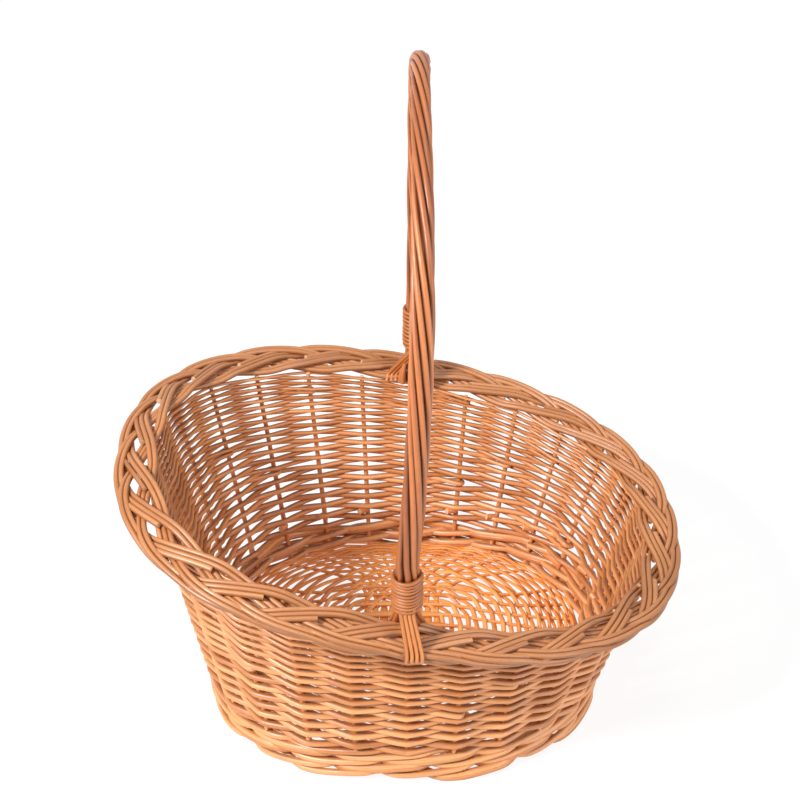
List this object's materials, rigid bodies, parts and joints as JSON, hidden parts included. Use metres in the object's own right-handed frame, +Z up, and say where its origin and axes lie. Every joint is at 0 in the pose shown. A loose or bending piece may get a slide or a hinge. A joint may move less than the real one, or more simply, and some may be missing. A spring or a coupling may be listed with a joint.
{
  "type": "wicker gift basket",
  "caption": "Oval willow basket with a woven side and floor, a slanted plaited rim and a tall fixed roped handle, for gifts, flowers or food.",
  "frame": {"origin": "on the ground under the middle of the mouth", "axes": "+Z up, +X along the basket towards its low end, +Y along the handle towards the back"},
  "size_m": [0.4479, 0.3866, 0.5525],
  "materials": {
    "stake_willow": "dry peeled willow stake, matt to satin",
    "weave_willow": "boiled and peeled buff willow, satin, streaked along each rod",
    "floor_willow": "buff willow, satin, a little darker than the side",
    "plait_willow": "buff willow in flat groups of rods, satin",
    "handle_willow": "smooth straight buff willow rods, satin",
    "binding_willow": "thin buff willow, satin"
  },
  "bodies": {
    "root": {"side_stake_01": "stake_willow", "side_stake_02": "stake_willow", "side_stake_03": "stake_willow", "side_stake_04": "stake_willow", "side_stake_05": "stake_willow", "side_stake_06": "stake_willow", "side_stake_07": "stake_willow", "side_stake_08": "stake_willow", "side_stake_09": "stake_willow", "side_stake_10": "stake_willow", "side_stake_11": "stake_willow", "side_stake_12": "stake_willow", "side_stake_13": "stake_willow", "side_stake_14": "stake_willow", "side_stake_15": "stake_willow", "side_stake_16": "stake_willow", "side_stake_17": "stake_willow", "side_stake_18": "stake_willow", "side_stake_19": "stake_willow", "side_stake_20": "stake_willow", "side_stake_21": "stake_willow", "side_stake_22": "stake_willow", "side_stake_23": "stake_willow", "side_stake_24": "stake_willow", "side_weave_01": "weave_willow", "side_weave_02": "weave_willow", "side_weave_03": "weave_willow", "side_weave_04": "weave_willow", "side_weave_05": "weave_willow", "side_weave_06": "weave_willow", "side_weave_07": "weave_willow", "side_weave_08": "weave_willow", "side_weave_09": "weave_willow", "side_weave_10": "weave_willow", "foot_wale_outer": "weave_willow", "foot_wale_inner": "weave_willow", "floor_stick_long_1": "floor_willow", "floor_stick_cross_1": "floor_willow", "floor_stick_long_2": "floor_willow", "floor_stick_cross_2": "floor_willow", "floor_stick_long_3": "floor_willow", "floor_stick_cross_3": "floor_willow", "floor_weave_1": "floor_willow", "floor_weave_2": "floor_willow", "floor_weave_3": "floor_willow", "floor_weave_4": "floor_willow", "rim_plait_1": "plait_willow", "rim_plait_2": "plait_willow", "rim_plait_3": "plait_willow", "handle_bow": "stake_willow", "handle_rod_1": "handle_willow", "handle_rod_2": "handle_willow", "handle_rod_3": "handle_willow", "handle_rod_4": "handle_willow", "handle_rod_5": "handle_willow", "handle_rod_6": "handle_willow", "handle_rod_7": "handle_willow", "handle_rod_8": "handle_willow", "handle_binding_front": "binding_willow", "handle_binding_back": "binding_willow"}
  },
  "joints": []
}
